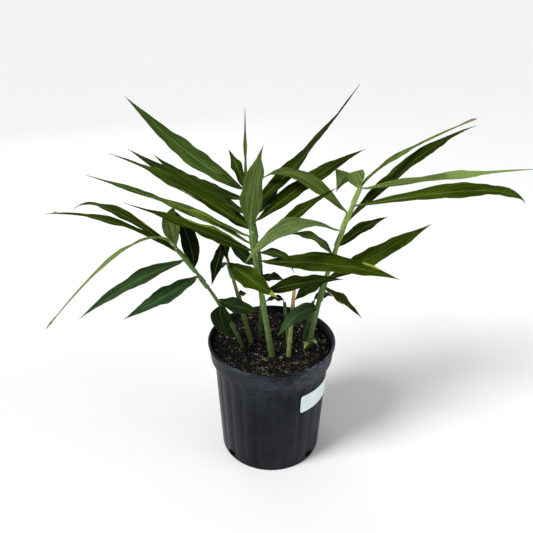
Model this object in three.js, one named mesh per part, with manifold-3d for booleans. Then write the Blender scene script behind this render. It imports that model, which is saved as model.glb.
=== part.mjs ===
// Potted ginger: a fluted nursery pot with its filling, rhizome, leafy shoots and blank label.
// Millimetres, +Z up, origin at the centre of the pot's underside, -Y towards the front.
import * as THREE from 'three';
import { mergeVertices } from 'three/addons/utils/BufferGeometryUtils.js';
import Module from 'manifold-3d';

const wasm = await Module();
wasm.setup();

// ---- driving dimensions ----
const clearance = 0.3; // between separate pieces that touch in life

const pot = {
  height: 155, rimRadius: 77, beadHeight: 4, collarHeight: 24, collarRadius: 75.5,
  wallTopRadius: 69.5, baseRadius: 62.5, chamfer: 0.8,
  wall: 1.5, floor: 2.4, segments: 48, fluteDepth: 0.8, fluteTop: 122, fluteBottom: 14,
  fluteRunOut: 3, shoulder: 2.5, shoulderInset: 1.4, edge: 1, lipFoot: 4,
};
const drain = { angle: 40, width: 12, height: 8, sill: 3, reach: 16 }; // four slots at the foot
const soil = {
  level: 146.5, tilt: 2, rings: 5, segments: 32, shelf: 1.4, spread: 4.8,
};
// crumbs on the soil: their height and how fast two crossing waves run, in radians per mm
const crumb = { height: 0.65, x: 0.31, y: 0.27, shift: 1.3, slantX: 0.13, slantY: 0.41 };
const label = { left: 300, right: 344, foot: 88, head: 113, thick: 0.5, segments: 6 };

const stemSides = 6;
const stemSteps = 7;
const stemRise = 148; // every shoot comes up straight as far as this
const burial = 120; // and starts here, just above the rhizome
const hole = { ease: 0.4, below: 8 }; // round each stem in the soil

const blade = {
  thick: 0.7, stations: 9, root: 3.2, fold: 0.2, least: 0.45,
  wave: 1.1, waveTurns: 16, waveStep: 1.7, waveFull: 6, lean: 0.82, taper: 1.2,
};

const rhizome = { height: 110, radius: 9, steps: 8, room: 0.2 };
// centre x, y, length along x, turn about Z
const knobs = [
  { x: -32, y: -3, long: 17, turn: 10 },
  { x: -13, y: 2, long: 16, turn: -15 },
  { x: 2, y: -16, long: 15, turn: 70 },
  { x: 14, y: -4, long: 17, turn: 20 },
  { x: 21, y: -22, long: 13, turn: 75 },
  { x: 34, y: -3, long: 17, turn: -10 },
  { x: 41, y: 9, long: 12, turn: 60 },
];

// ---- shoots ----
// foot and top of each stem, how far its middle bows off the straight line, and its radii.
// Leaves: at = place along the stem from 0 to 1; tip = where the blade ends; arch = rise of
// the middle; sweep = its shift to the left, seen from the stem; roll lifts the left edge;
// twist is added to the roll by the tip; crest moves the height of the arch towards the root
// or the tip.
const shoots = {
  shoot_left: {
    foot: [-35, -10], top: [-100, -40, 290], bow: [6, 0], girth: [2.7, 1.6],
    leaves: [
      { at: 0.45, tip: [-42, -40, 175], arch: 5, sweep: -8, width: 26, roll: 0 },
      { at: 0.50, tip: [-15, -15, 200], arch: 0, width: 18, roll: 40 },
      { at: 0.75, tip: [-150, -90, 235], arch: 0, width: 20, roll: -20 },
      { at: 0.90, tip: [-195, -90, 235], arch: 8, width: 20, roll: -15 },
      { at: 0.80, tip: [-110, 0, 320], arch: 5, sweep: -4, width: 20, roll: 0 },
      { at: 0.95, tip: [-230, -45, 330], arch: 14, width: 14, roll: 0 },
      { at: 0.95, tip: [-220, 10, 315], arch: 18, width: 16, roll: 0, crest: 0.75 },
      { at: 1.00, tip: [-105, -5, 325], arch: 5, sweep: 6, width: 18, roll: 0 },
      { at: 1.00, tip: [-228, -95, 226], arch: 34, width: 10, roll: 50, crest: 0.2, twist: -70 },
    ],
  },
  shoot_left_back: {
    foot: [-25, 0], top: [-55, -10, 285], bow: [0, 0], girth: [3.1, 1.3],
    leaves: [
      { at: 0.80, tip: [5, -80, 255], arch: 2, sweep: -2, width: 22, roll: 35 },
      { at: 1.00, tip: [-67, -30, 242], arch: 0, width: 14, roll: 0 },
      { at: 1.00, tip: [-50, -25, 270], arch: 5, width: 12, roll: 0 },
      { at: 0.80, tip: [-70, -15, 250], arch: 2, width: 6, roll: -40 },
      { at: 0.50, tip: [-30, 0, 215], arch: 1, width: 8, roll: 30 },
    ],
  },
  shoot_front: {
    foot: [0, -25], top: [-25, -40, 320], bow: [0, 0], girth: [3.8, 1.5],
    leaves: [
      { at: 0.80, tip: [-143, -70, 352], arch: 2, width: 18, roll: -50, twist: 60 },
      { at: 0.70, tip: [-50, -35, 300], arch: 0, width: 14, roll: -50 },
      { at: 0.85, tip: [-130, -40, 350], arch: 4, width: 14, roll: 0 },
      { at: 0.90, tip: [-195, -10, 360], arch: 3, width: 18, roll: 0 },
      { at: 0.95, tip: [-11, -60, 405], arch: 5, sweep: -3, width: 25, roll: 0 },
      { at: 0.50, tip: [68, -85, 280], arch: 4, width: 20, roll: 30 },
      { at: 0.03, tip: [5, -25, 165], arch: 1, width: 5, roll: 0 },
    ],
  },
  shoot_back: {
    foot: [-15, 5], top: [-30, 15, 335], bow: [8, 0], girth: [2.4, 1.3],
    leaves: [
      { at: 0.45, tip: [12, -30, 250], arch: 1, width: 14, roll: 30 },
      { at: 0.55, tip: [130, -60, 267], arch: 8, width: 26, roll: 25, crest: 0.6 },
      { at: 0.60, tip: [25, 5, 240], arch: 14, width: 14, roll: 20, crest: 0.7 },
      { at: 0.65, tip: [65, -15, 350], arch: 4, width: 16, roll: 40 },
      { at: 0.75, tip: [-90, 35, 330], arch: 0, width: 16, roll: -30 },
      { at: 0.75, tip: [-180, 30, 372], arch: 7, width: 22, roll: -35, crest: 0.6, twist: 50 },
      { at: 0.80, tip: [105, 65, 370], arch: 7, width: 20, roll: 30 },
      { at: 0.85, tip: [5, 60, 330], arch: 2, sweep: -5, width: 16, roll: 20 },
      { at: 0.85, tip: [-175, 95, 360], arch: -4, width: 20, roll: -30 },
      { at: 0.90, tip: [100, 110, 435], arch: -10, width: 24, roll: 35, twist: -95 },
      { at: 0.95, tip: [-155, 140, 342], arch: -12, width: 18, roll: -30 },
      { at: 1.00, tip: [-65, 5, 360], arch: 1, width: 12, roll: 0 },
      { at: 1.00, tip: [-50, 40, 375], arch: 2, width: 14, roll: 0 },
      { at: 1.00, tip: [-163, 55, 429], arch: -8, width: 20, roll: -50 },
      { at: 1.00, tip: [-32, 50, 417], arch: 0, width: 5, roll: -50 },
    ],
  },
  shoot_small: {
    foot: [20, 0], top: [15, 0, 205], bow: [0, 0], girth: [2.2, 1.2],
    leaves: [
      { at: 1.00, tip: [-10, 0, 203], arch: 5, width: 12, roll: 0 },
    ],
  },
  stalk_dry: {
    foot: [20, -25], top: [25, -20, 245], bow: [0, 0], girth: [2.8, 1.7],
    leaves: [],
  },
  shoot_right: {
    foot: [45, -5], top: [90, -5, 345], bow: [-5, 0], girth: [3.4, 1.8],
    leaves: [
      { at: 0.01, tip: [38, -20, 150], arch: 5, width: 6, roll: 0 },
      { at: 0.02, tip: [54, -17, 156], arch: 4, width: 7, roll: 0 },
      { at: 0.25, tip: [5, -60, 195], arch: 11, width: 18, roll: -30 },
      { at: 0.25, tip: [35, 5, 200], arch: 1, width: 8, roll: -30 },
      { at: 0.40, tip: [100, -35, 205], arch: 3, width: 14, roll: 0 },
      { at: 0.45, tip: [190, 50, 285], arch: -2, width: 22, roll: 30 },
      { at: 0.45, tip: [25, -15, 215], arch: 4, width: 20, roll: -20 },
      { at: 0.65, tip: [135, 45, 295], arch: 5, width: 16, roll: 10 },
      { at: 0.60, tip: [12, 15, 284], arch: 12, width: 14, roll: -10, crest: 0.35 },
      { at: 0.75, tip: [-30, -55, 280], arch: 26, width: 20, roll: 10, crest: 0.6, twist: -70 },
      { at: 0.80, tip: [240, 100, 390], arch: 15, width: 20, roll: 0 },
      { at: 0.85, tip: [-20, 40, 335], arch: 26, width: 18, roll: -45, crest: 0.65, twist: 50 },
      { at: 0.90, tip: [256, -30, 340], arch: 15, width: 20, roll: 25, crest: 0.9 },
      { at: 1.00, tip: [70, 27, 331], arch: 20, width: 30, roll: -30, twist: 90 },
      { at: 1.00, tip: [280, 15, 363], arch: 2, width: 18, roll: 5 },
      { at: 1.00, tip: [255, 145, 389], arch: 12, width: 8, roll: -20, crest: 0.1, twist: 30 },
    ],
  },
  shoot_right_back: {
    foot: [40, 10], top: [50, 20, 195], bow: [0, 0], girth: [2.4, 1.3],
    leaves: [
      { at: 1.00, tip: [75, 30, 195], arch: 6, width: 12, roll: 20 },
    ],
  },
};

const colours = {
  pot: { color: 0x23272e, roughness: 0.45, metalness: 0 },
  soil: { color: 0x2a2019, roughness: 0.95, metalness: 0 },
  rhizome: { color: 0xb78a55, roughness: 0.8, metalness: 0 },
  leaf: { color: 0x3c5f24, roughness: 0.42, metalness: 0 },
  dry: { color: 0xa5703a, roughness: 0.7, metalness: 0 },
  label: { color: 0xe6efec, roughness: 0.5, metalness: 0 },
};

// ---- small helpers ----
const up = new THREE.Vector3(0, 0, 1);

function radians(degrees) {
  return THREE.MathUtils.degToRad(degrees);
}

function polar(radius, angle, z) {
  return new THREE.Vector3(radius * Math.cos(angle), radius * Math.sin(angle), z);
}

// Closed skin over a row of rings with the same number of points. Each ring runs anticlockwise
// seen from the end of the row; mirrored says which quads are split along the other diagonal.
function skin(rings, mirrored = () => false) {
  const count = rings[0].length;
  const index = [];
  for (let row = 0; row < rings.length - 1; row += 1) {
    for (let k = 0; k < count; k += 1) {
      const a = row * count + k;
      const b = row * count + (k + 1) % count;
      const c = b + count;
      const d = a + count;
      if (mirrored(k)) {
        index.push(a, b, d, b, c, d);
      } else {
        index.push(a, b, c, a, c, d);
      }
    }
  }
  const last = (rings.length - 1) * count;
  for (let k = 1; k < count - 1; k += 1) {
    index.push(0, k + 1, k);
    index.push(last, last + k, last + k + 1);
  }
  const geometry = new THREE.BufferGeometry();
  const points = rings.flat().flatMap((point) => point.toArray());
  geometry.setAttribute('position', new THREE.Float32BufferAttribute(points, 3));
  geometry.setIndex(index);
  return geometry;
}

function solidOf(geometry) {
  const bare = geometry.clone();
  bare.deleteAttribute('normal');
  bare.deleteAttribute('uv');
  const merged = mergeVertices(bare, 1e-4);
  return new wasm.Manifold(new wasm.Mesh({
    numProp: 3,
    vertProperties: new Float32Array(merged.attributes.position.array),
    triVerts: new Uint32Array(merged.index.array),
  }));
}

function geometryOf(solid) {
  const mesh = solid.getMesh();
  const geometry = new THREE.BufferGeometry();
  geometry.setAttribute('position', new THREE.BufferAttribute(mesh.vertProperties, 3));
  geometry.setIndex(new THREE.BufferAttribute(mesh.triVerts, 1));
  geometry.computeVertexNormals();
  return geometry;
}

function partOf(name, solid, look) {
  const mesh = new THREE.Mesh(geometryOf(solid), new THREE.MeshStandardMaterial(look));
  mesh.name = name;
  return mesh;
}

// ---- pot ----
const collarFoot = pot.height - pot.collarHeight;
const lipRadius = pot.collarRadius - pot.wall;
const collarInside = lipRadius - pot.edge;

// Radius of the tapered wall at a height: its outside without flutes, and its plain inside.
function outsideRadius(z) {
  return THREE.MathUtils.lerp(pot.baseRadius, pot.wallTopRadius, z / collarFoot);
}

function insideRadius(z) {
  return outsideRadius(z) - pot.wall - pot.fluteDepth;
}

// Outer line from the foot to the lip, then the inner line back down: radius, height, and
// how much of the flute depth shows there.
function potLine() {
  const beadFoot = pot.height - pot.beadHeight;
  const fluteFoot = pot.fluteBottom - pot.fluteRunOut;
  return [
    [pot.baseRadius - pot.chamfer, 0, 0],
    [outsideRadius(pot.chamfer), pot.chamfer, 0],
    [outsideRadius(fluteFoot), fluteFoot, 0],
    [outsideRadius(pot.fluteBottom), pot.fluteBottom, 1],
    [outsideRadius(pot.fluteTop), pot.fluteTop, 1],
    [pot.wallTopRadius, collarFoot, 0],
    [pot.collarRadius - pot.shoulderInset, collarFoot + pot.shoulder, 0],
    [pot.collarRadius, beadFoot, 0],
    [pot.rimRadius, beadFoot + pot.edge, 0],
    [pot.rimRadius, pot.height - pot.edge, 0],
    [pot.rimRadius - pot.edge, pot.height, 0],
    [lipRadius, pot.height, 0],
    [collarInside, collarFoot + pot.lipFoot, 0],
    [insideRadius(collarFoot), collarFoot + pot.edge, 0],
    [insideRadius(pot.floor), pot.floor, 0],
  ];
}

function potShell() {
  const rings = potLine().map(([radius, z, flute]) => {
    const ring = [];
    for (let k = 0; k < pot.segments; k += 1) {
      const angle = (k / pot.segments) * 2 * Math.PI;
      const groove = k % 2 === 0 ? pot.fluteDepth * flute : 0;
      ring.push(polar(radius - groove, angle, z));
    }
    return ring;
  });
  return solidOf(skin(rings));
}

function drainSlot(angle) {
  const box = new THREE.BoxGeometry(drain.reach, drain.width, drain.height);
  box.translate(pot.baseRadius, 0, drain.sill + drain.height / 2);
  box.rotateZ(radians(angle));
  return solidOf(box);
}

function nurseryPot() {
  let solid = potShell();
  const angles = [drain.angle, 180 - drain.angle, 180 + drain.angle, 360 - drain.angle];
  for (const angle of angles) {
    solid = solid.subtract(drainSlot(angle));
  }
  return partOf('nursery_pot', solid, colours.pot);
}

function potLabel() {
  const rings = [];
  for (let k = 0; k <= label.segments; k += 1) {
    const angle = radians(THREE.MathUtils.lerp(label.left, label.right, k / label.segments));
    const section = [];
    for (const [side, z] of [[0, label.foot], [0, label.head], [1, label.head], [1, label.foot]]) {
      section.push(polar(outsideRadius(z) + clearance + side * label.thick, angle, z));
    }
    rings.push(section);
  }
  return partOf('pot_label', solidOf(skin(rings)), colours.label);
}

// ---- soil and rhizome ----
// The filling is heaped a little towards the back left.
function soilHeight(x, y) {
  const slope = soil.tilt * (y - x) / pot.wallTopRadius;
  const straight = Math.sin(x * crumb.x + crumb.shift) * Math.cos(y * crumb.y);
  const slanted = Math.sin(x * crumb.slantX - y * crumb.slantY);
  return soil.level + slope + crumb.height * (straight + slanted);
}

function soilBody() {
  const widest = collarInside - 2 * clearance;
  const side = [
    [insideRadius(0) - 2 * clearance, pot.floor + clearance],
    [insideRadius(collarFoot) - 2 * clearance, collarFoot + soil.shelf],
    [widest, collarFoot + soil.spread],
  ];
  const rings = side.map(([radius, z]) => soilRing(radius, () => z));
  for (let k = 0; k < soil.rings; k += 1) {
    const share = 1 - k / soil.rings;
    rings.push(soilRing(widest * share, soilHeight));
  }
  return solidOf(skin(rings));
}

function soilRing(radius, heightAt) {
  const ring = [];
  for (let k = 0; k < soil.segments; k += 1) {
    const point = polar(radius, (k / soil.segments) * 2 * Math.PI, 0);
    point.z = heightAt(point.x, point.y);
    ring.push(point);
  }
  return ring;
}

function knobSolid(knob, swell) {
  const ball = new THREE.SphereGeometry(1, rhizome.steps, rhizome.steps / 2);
  ball.rotateX(Math.PI / 2);
  ball.scale(knob.long + swell, rhizome.radius + swell, rhizome.radius + swell);
  ball.rotateZ(radians(knob.turn));
  ball.translate(knob.x, knob.y, rhizome.height);
  return solidOf(ball);
}

function rhizomeSolid(swell) {
  return knobs.map((knob) => knobSolid(knob, swell)).reduce((whole, knob) => whole.add(knob));
}

function stemHole(shoot) {
  const radius = shoot.girth[0] + hole.ease;
  const ring = (z) => {
    const points = [];
    for (let k = 0; k < stemSides; k += 1) {
      const point = polar(radius, (k / stemSides) * 2 * Math.PI, z);
      points.push(point.add(new THREE.Vector3(shoot.foot[0], shoot.foot[1], 0)));
    }
    return points;
  };
  return solidOf(skin([ring(burial - hole.below), ring(pot.height)]));
}

function pottingSoil() {
  let solid = soilBody().subtract(rhizomeSolid(clearance + rhizome.room));
  for (const shoot of Object.values(shoots)) {
    solid = solid.subtract(stemHole(shoot));
  }
  return partOf('potting_soil', solid, colours.soil);
}

// ---- shoots ----
// Point at t of a curve through a start, an end and a middle that stands off the chord.
function curveOf(start, end, middleShift, crest = 0.5) {
  const handle = start.clone().lerp(end, crest).addScaledVector(middleShift, 2);
  return new THREE.QuadraticBezierCurve3(start, handle, end);
}

function stemCurve(shoot) {
  const foot = new THREE.Vector3(shoot.foot[0], shoot.foot[1], stemRise);
  const top = new THREE.Vector3(...shoot.top);
  return curveOf(foot, top, new THREE.Vector3(shoot.bow[0], shoot.bow[1], 0));
}

function stemSolid(shoot) {
  const curve = stemCurve(shoot);
  const [thick, thin] = shoot.girth;
  const ring = (centre, radius) => {
    const points = [];
    for (let k = 0; k < stemSides; k += 1) {
      points.push(polar(radius, (k / stemSides) * 2 * Math.PI, 0).add(centre));
    }
    return points;
  };
  const rings = [ring(new THREE.Vector3(shoot.foot[0], shoot.foot[1], burial), thick)];
  for (let k = 0; k <= stemSteps; k += 1) {
    const t = k / stemSteps;
    rings.push(ring(curve.getPoint(t), THREE.MathUtils.lerp(thick, thin, t)));
  }
  return solidOf(skin(rings));
}

// Half width of a blade, widest a little before its middle, with a long drawn-out tip.
function halfWidth(leaf, s) {
  const shape = Math.sin(Math.PI * s ** blade.lean) ** blade.taper;
  const root = blade.root * (1 - s) ** 2;
  return Math.max(leaf.width * 0.5 * shape, root * 0.5, blade.least);
}

function leafSolid(shoot, leaf, phase) {
  const root = stemCurve(shoot).getPoint(leaf.at);
  const tip = new THREE.Vector3(...leaf.tip);
  const heading = tip.clone().sub(root).setZ(0).normalize();
  const left = new THREE.Vector3().crossVectors(up, heading);
  const shift = up.clone().multiplyScalar(leaf.arch).addScaledVector(left, leaf.sweep ?? 0);
  const curve = curveOf(root, tip, shift, leaf.crest);
  const rings = [];
  for (let k = 0; k <= blade.stations; k += 1) {
    const s = k / blade.stations;
    const along = curve.getTangent(s);
    const flatSide = new THREE.Vector3().crossVectors(up, along).normalize();
    const roll = radians(leaf.roll + (leaf.twist ?? 0) * s);
    const side = flatSide.applyAxisAngle(along, roll);
    const normal = new THREE.Vector3().crossVectors(along, side);
    rings.push(bladeSection(curve.getPoint(s), side, normal, leaf, s, phase));
  }
  return solidOf(skin(rings, (k) => k >= 3));
}

// Six points: left edge, rib and right edge on the upper face, then back along the lower one.
function bladeSection(centre, side, normal, leaf, s, phase) {
  const half = halfWidth(leaf, s);
  const ripple = blade.wave * Math.sin(Math.PI * s) * Math.sin(s * blade.waveTurns + phase);
  const across = [[1, ripple], [0, 0], [-1, -ripple]];
  const upper = across.map(([share, wave]) => {
    const lift = Math.abs(share) * half * blade.fold + wave * Math.min(1, half / blade.waveFull);
    return centre.clone().addScaledVector(side, share * half).addScaledVector(normal, lift);
  });
  const lower = upper.map((point) => point.clone().addScaledVector(normal, -blade.thick));
  return [...upper, ...lower.reverse()];
}

function leafyShoot(name, shoot) {
  let solid = stemSolid(shoot);
  shoot.leaves.forEach((leaf, index) => {
    solid = solid.add(leafSolid(shoot, leaf, index * blade.waveStep));
  });
  return partOf(name, solid, shoot.leaves.length ? colours.leaf : colours.dry);
}

// ---- the plant ----
const group = new THREE.Group();
group.add(nurseryPot());
group.add(potLabel());
group.add(pottingSoil());
group.add(partOf('ginger_rhizome', rhizomeSolid(0), colours.rhizome));
for (const [name, shoot] of Object.entries(shoots)) {
  group.add(leafyShoot(name, shoot));
}

export default group;
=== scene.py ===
import math

import bpy
import bmesh
from mathutils import Matrix, Vector, noise


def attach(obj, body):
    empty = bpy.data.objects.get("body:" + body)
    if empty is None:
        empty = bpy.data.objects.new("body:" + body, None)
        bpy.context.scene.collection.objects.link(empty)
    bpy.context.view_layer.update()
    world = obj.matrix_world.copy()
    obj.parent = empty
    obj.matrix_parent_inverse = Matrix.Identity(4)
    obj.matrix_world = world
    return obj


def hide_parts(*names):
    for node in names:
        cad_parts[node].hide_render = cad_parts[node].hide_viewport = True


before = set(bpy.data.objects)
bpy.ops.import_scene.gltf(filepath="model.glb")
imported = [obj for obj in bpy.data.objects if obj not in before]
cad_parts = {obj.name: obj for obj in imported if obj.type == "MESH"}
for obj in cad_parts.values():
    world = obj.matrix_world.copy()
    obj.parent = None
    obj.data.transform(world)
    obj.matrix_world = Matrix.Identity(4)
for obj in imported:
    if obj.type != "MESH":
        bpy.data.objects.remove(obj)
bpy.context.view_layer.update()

mm = 0.001  # the dictionaries below hold millimetres and degrees
up = Vector((0, 0, 1))


class Wire:
    # an output socket of a node, so that shader and geometry sums read as sums
    def __init__(self, tree, socket=None):
        self.tree = tree
        self.socket = socket

    def node(self, kind, settings=None, values=None, out=0):
        made = self.tree.nodes.new(kind)
        for name, value in (settings or {}).items():
            if name == "stops":
                setStops(made.color_ramp, value)
            else:
                setattr(made, name, value)
        for key, value in (values or {}).items():
            if isinstance(value, Wire):
                self.tree.links.new(value.socket, made.inputs[key])
            else:
                made.inputs[key].default_value = value
        return Wire(self.tree, made.outputs[out] if len(made.outputs) else None)

    def sum(self, operation, *values):
        return self.node("ShaderNodeMath", {"operation": operation}, dict(enumerate(values)))

    def __add__(self, other):
        return self.sum("ADD", self, other)

    __radd__ = __add__

    def __sub__(self, other):
        return self.sum("SUBTRACT", self, other)

    def __rsub__(self, other):
        return self.sum("SUBTRACT", other, self)

    def __mul__(self, other):
        return self.sum("MULTIPLY", self, other)

    __rmul__ = __mul__

    def __truediv__(self, other):
        return self.sum("DIVIDE", self, other)

    def __pow__(self, other):
        return self.sum("POWER", self, other)

    def __abs__(self):
        return self.sum("ABSOLUTE", self)

    def sine(self):
        return self.sum("SINE", self)

    def cosine(self):
        return self.sum("COSINE", self)

    def parts(self):
        return [self.node("ShaderNodeSeparateXYZ", {}, {0: self}, axis) for axis in range(3)]

    def vector(self, x, y, z):
        return self.node("ShaderNodeCombineXYZ", {}, {0: x, 1: y, 2: z})

    def ease(self, low, high):  # 0 below low, 1 above high, smooth between
        settings = {"interpolation_type": "SMOOTHSTEP"}
        return self.node("ShaderNodeMapRange", settings, {"Value": self, 1: low, 2: high})

    def towards(self, color, share):  # this colour, mixed with another by share
        settings = {"data_type": "RGBA", "clamp_factor": True}
        other = color if isinstance(color, Wire) else (*color, 1)
        return self.node("ShaderNodeMix", settings, {0: share, 6: self, 7: other}, 2)

    def shaded(self, other):  # this colour multiplied by another
        settings = {"data_type": "RGBA", "blend_type": "MULTIPLY", "clamp_factor": True}
        return self.node("ShaderNodeMix", settings, {0: 1.0, 6: self, 7: other}, 2)

    def stretched(self, x, y, z):  # this vector with each axis scaled
        return self.node("ShaderNodeVectorMath", {"operation": "MULTIPLY"}, {0: self, 1: (x, y, z)})

    def speckle(self, scale, detail=3.0, rough=0.55):
        values = {"Vector": self, "Scale": scale, "Detail": detail, "Roughness": rough}
        return self.node("ShaderNodeTexNoise", {}, values)

    def ramp(self, *stops):
        return self.node("ShaderNodeValToRGB", {"stops": stops}, {0: self})

    def attribute(self, name, out="Vector"):
        return self.node("ShaderNodeAttribute", {"attribute_name": name}, {}, out)

    def place(self):
        return self.node("ShaderNodeTexCoord", {}, {}, "Object")


def setStops(ramp, stops):
    while len(ramp.elements) < len(stops):
        ramp.elements.new(0.5)
    for element, (place, color) in zip(ramp.elements, stops):
        element.position = place
        element.color = (*color, 1)


def newMaterial(name):
    material = bpy.data.materials.new(name)
    material.use_nodes = True
    material.node_tree.nodes.clear()
    wire = Wire(material.node_tree)
    wire.material = material
    return wire


def finishMaterial(wire, color, roughness, height, depth, gloss=0.5, tint=(1, 1, 1)):
    # height is the relief as a wire, depth its size in millimetres
    values = {"Strength": 1, "Distance": depth * mm, "Height": height}
    normal = wire.node("ShaderNodeBump", {}, values)
    values = {"Base Color": color, "Roughness": roughness, "Normal": normal,
              "Specular IOR Level": gloss, "Specular Tint": (*tint, 1)}
    shader = wire.node("ShaderNodeBsdfPrincipled", {}, values)
    wire.node("ShaderNodeOutputMaterial", {}, {"Surface": shader})
    return wire.material


def newObject(name, data, *materials):
    made = bpy.data.objects.new(name, data)
    bpy.context.scene.collection.objects.link(made)
    for material in materials:
        data.materials.append(material)
    return made


def smooth(mesh, crease):
    mesh.shade_smooth()
    mesh.set_sharp_from_angle(angle=math.radians(crease))
    return mesh


def meshOf(name, points, faces, crease=40):
    mesh = bpy.data.meshes.new(name)
    mesh.from_pydata(points, [], faces)
    return smooth(mesh, crease)


def giveAttribute(mesh, name, values):
    layer = mesh.attributes.new(name, "FLOAT_VECTOR", "POINT")
    layer.data.foreach_set("vector", [number for value in values for number in value])


def settle(piece, slot, *nodes):
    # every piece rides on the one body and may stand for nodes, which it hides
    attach(piece, "root")
    if nodes:
        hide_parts(*nodes)


def mixed(a, b, share):
    return a + (b - a) * share


def eased(value, low, high):
    share = min(max((value - low) / (high - low), 0), 1)
    return share * share * (3 - 2 * share)


def bump(distance, reach):
    return math.exp(-(distance / reach) ** 2)


def polar(radius, angle, z):
    return Vector((radius * math.cos(angle), radius * math.sin(angle), z))


def closedSheet(rows, thickness, points, faces):
    # rows of points on the upper face; the lower one lies a thickness behind it
    start = len(points)
    length = len(rows)
    width = len(rows[0])
    points.extend(point for row in rows for point in row)
    for i, row in enumerate(rows):
        before = rows[max(i - 1, 0)]
        after = rows[min(i + 1, length - 1)]
        for j, point in enumerate(row):
            along = after[j] - before[j]
            across = row[min(j + 1, width - 1)] - row[max(j - 1, 0)]
            normal = along.cross(across).normalized()
            points.append(point - normal * thickness(i, j))

    def top(i, j):
        return start + i * width + j

    def low(i, j):
        return top(i, j) + length * width

    for i in range(length - 1):
        for j in range(width - 1):
            faces.append((top(i, j), top(i + 1, j), top(i + 1, j + 1), top(i, j + 1)))
            faces.append((low(i, j), low(i, j + 1), low(i + 1, j + 1), low(i + 1, j)))
        j = width - 1
        faces.append((top(i, j), top(i + 1, j), low(i + 1, j), low(i, j)))
        faces.append((top(i, 0), low(i, 0), low(i + 1, 0), top(i + 1, 0)))
    i = length - 1
    for j in range(width - 1):
        faces.append((top(0, j), top(0, j + 1), low(0, j + 1), low(0, j)))
        faces.append((top(i, j), low(i, j), low(i, j + 1), top(i, j + 1)))


def closedTube(rings, points, faces):
    # rings run anticlockwise seen from the end of the row; each end closes on its middle
    start = len(points)
    sides = len(rings[0])
    points.extend(point for ring in rings for point in ring)
    for i in range(len(rings) - 1):
        for j in range(sides):
            a = start + i * sides + j
            b = start + i * sides + (j + 1) % sides
            faces.append((a, b, b + sides, a + sides))
    for ring, first, turned in ((rings[0], start, True), (rings[-1], len(points) - sides, False)):
        points.append(sum(ring, Vector()) / sides)
        for j in range(sides):
            a = first + j
            b = first + (j + 1) % sides
            faces.append((b, a, len(points) - 1) if turned else (a, b, len(points) - 1))


socketKinds = {float: "Float", int: "Int", bpy.types.Material: "Material"}


def growTree(piece, name, values, build):
    # runs a node tree on the piece: it has an input, of the right kind, for each value, and
    # build makes its geometry from them
    tree = bpy.data.node_groups.new(name, "GeometryNodeTree")
    kinds = {"Geometry": "Geometry"}
    kinds.update({label: socketKinds[type(value)] for label, value in values.items()})
    for label, kind in kinds.items():
        tree.interface.new_socket(label, in_out="INPUT", socket_type="NodeSocket" + kind)
    tree.interface.new_socket("Geometry", in_out="OUTPUT", socket_type="NodeSocketGeometry")
    source = tree.nodes.new("NodeGroupInput")
    given = {socket.name: Wire(tree, socket) for socket in source.outputs if socket.name}
    grown = build(given)
    grown = grown.node("GeometryNodeRealizeInstances", {}, {0: grown})
    dressed = {"Geometry": grown, "Material": given["material"]}
    grown = grown.node("GeometryNodeSetMaterial", {}, dressed)
    grown.node("NodeGroupOutput", {}, {0: grown})
    modifier = piece.modifiers.new(name, "NODES")
    modifier.node_group = tree
    for item in tree.interface.items_tree:
        if item.in_out == "INPUT" and item.name in values:
            modifier[item.identifier] = values[item.name]


def bakeModifiers(piece, crease=None):
    graph = bpy.context.evaluated_depsgraph_get()
    mesh = bpy.data.meshes.new_from_object(piece.evaluated_get(graph), depsgraph=graph)
    piece.modifiers.clear()
    piece.data = smooth(mesh, crease) if crease else mesh


studio = {
    "eye": (-7, -570, 535), "pitch": 26.5, "roll": 0.5,
    "focalPixels": 560, "framePixels": 533, "sensor": 36,
    "floor": 90000, "floorTone": 0.97, "floorShade": 0.985,
    "zenith": (0.34, 0.34, 0.34), "horizon": (0.45, 0.45, 0.45), "haze": 0.10,
    "sun": 2.75, "sunFrom": (-0.62, -0.36, 0.70), "sunWidth": 22,
    # place, size and power of each soft panel; all look at the middle of the plant
    "target": (10, 0, 200),
    "panels": {
        "side": ((1300, -500, 900), 900, 5),
        "back": ((-700, 1300, 1000), 900, 3),
    },
}


def makeCamera():
    data = bpy.data.cameras.new("view")
    data.sensor_width = studio["sensor"]
    data.lens = studio["sensor"] * studio["focalPixels"] / studio["framePixels"]
    data.clip_start = 0.01
    camera = newObject("view", data)
    tilt = Matrix.Rotation(math.radians(90 - studio["pitch"]), 4, "X")
    roll = Matrix.Rotation(math.radians(studio["roll"]), 4, "Z")
    camera.matrix_world = Matrix.Translation(Vector(studio["eye"]) * mm) @ tilt @ roll
    bpy.context.scene.camera = camera


def makeLight():
    world = bpy.data.worlds.new("sky")
    world.use_nodes = True
    wire = Wire(world.node_tree)
    height = abs(wire.node("ShaderNodeTexCoord", {}, {}, "Generated").parts()[2])
    glow = height.ramp((0.0, studio["horizon"]), (studio["haze"], studio["zenith"]))
    world.node_tree.links.new(glow.socket, world.node_tree.nodes["Background"].inputs["Color"])
    bpy.context.scene.world = world
    bpy.context.scene.view_settings.view_transform = "Standard"
    target = Vector(studio["target"]) * mm
    for name, (place, size, power) in studio["panels"].items():
        data = bpy.data.lights.new(name, "AREA")
        data.size = size * mm
        data.energy = power
        lamp = newObject(name, data)
        lamp.location = Vector(place) * mm
        lamp.rotation_euler = (target - lamp.location).to_track_quat("-Z", "Y").to_euler()
    data = bpy.data.lights.new("sun", "SUN")
    data.energy = studio["sun"]
    data.angle = math.radians(studio["sunWidth"])
    sun = newObject("sun", data)
    sun.rotation_euler = Vector(studio["sunFrom"]).to_track_quat("Z", "Y").to_euler()


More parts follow.
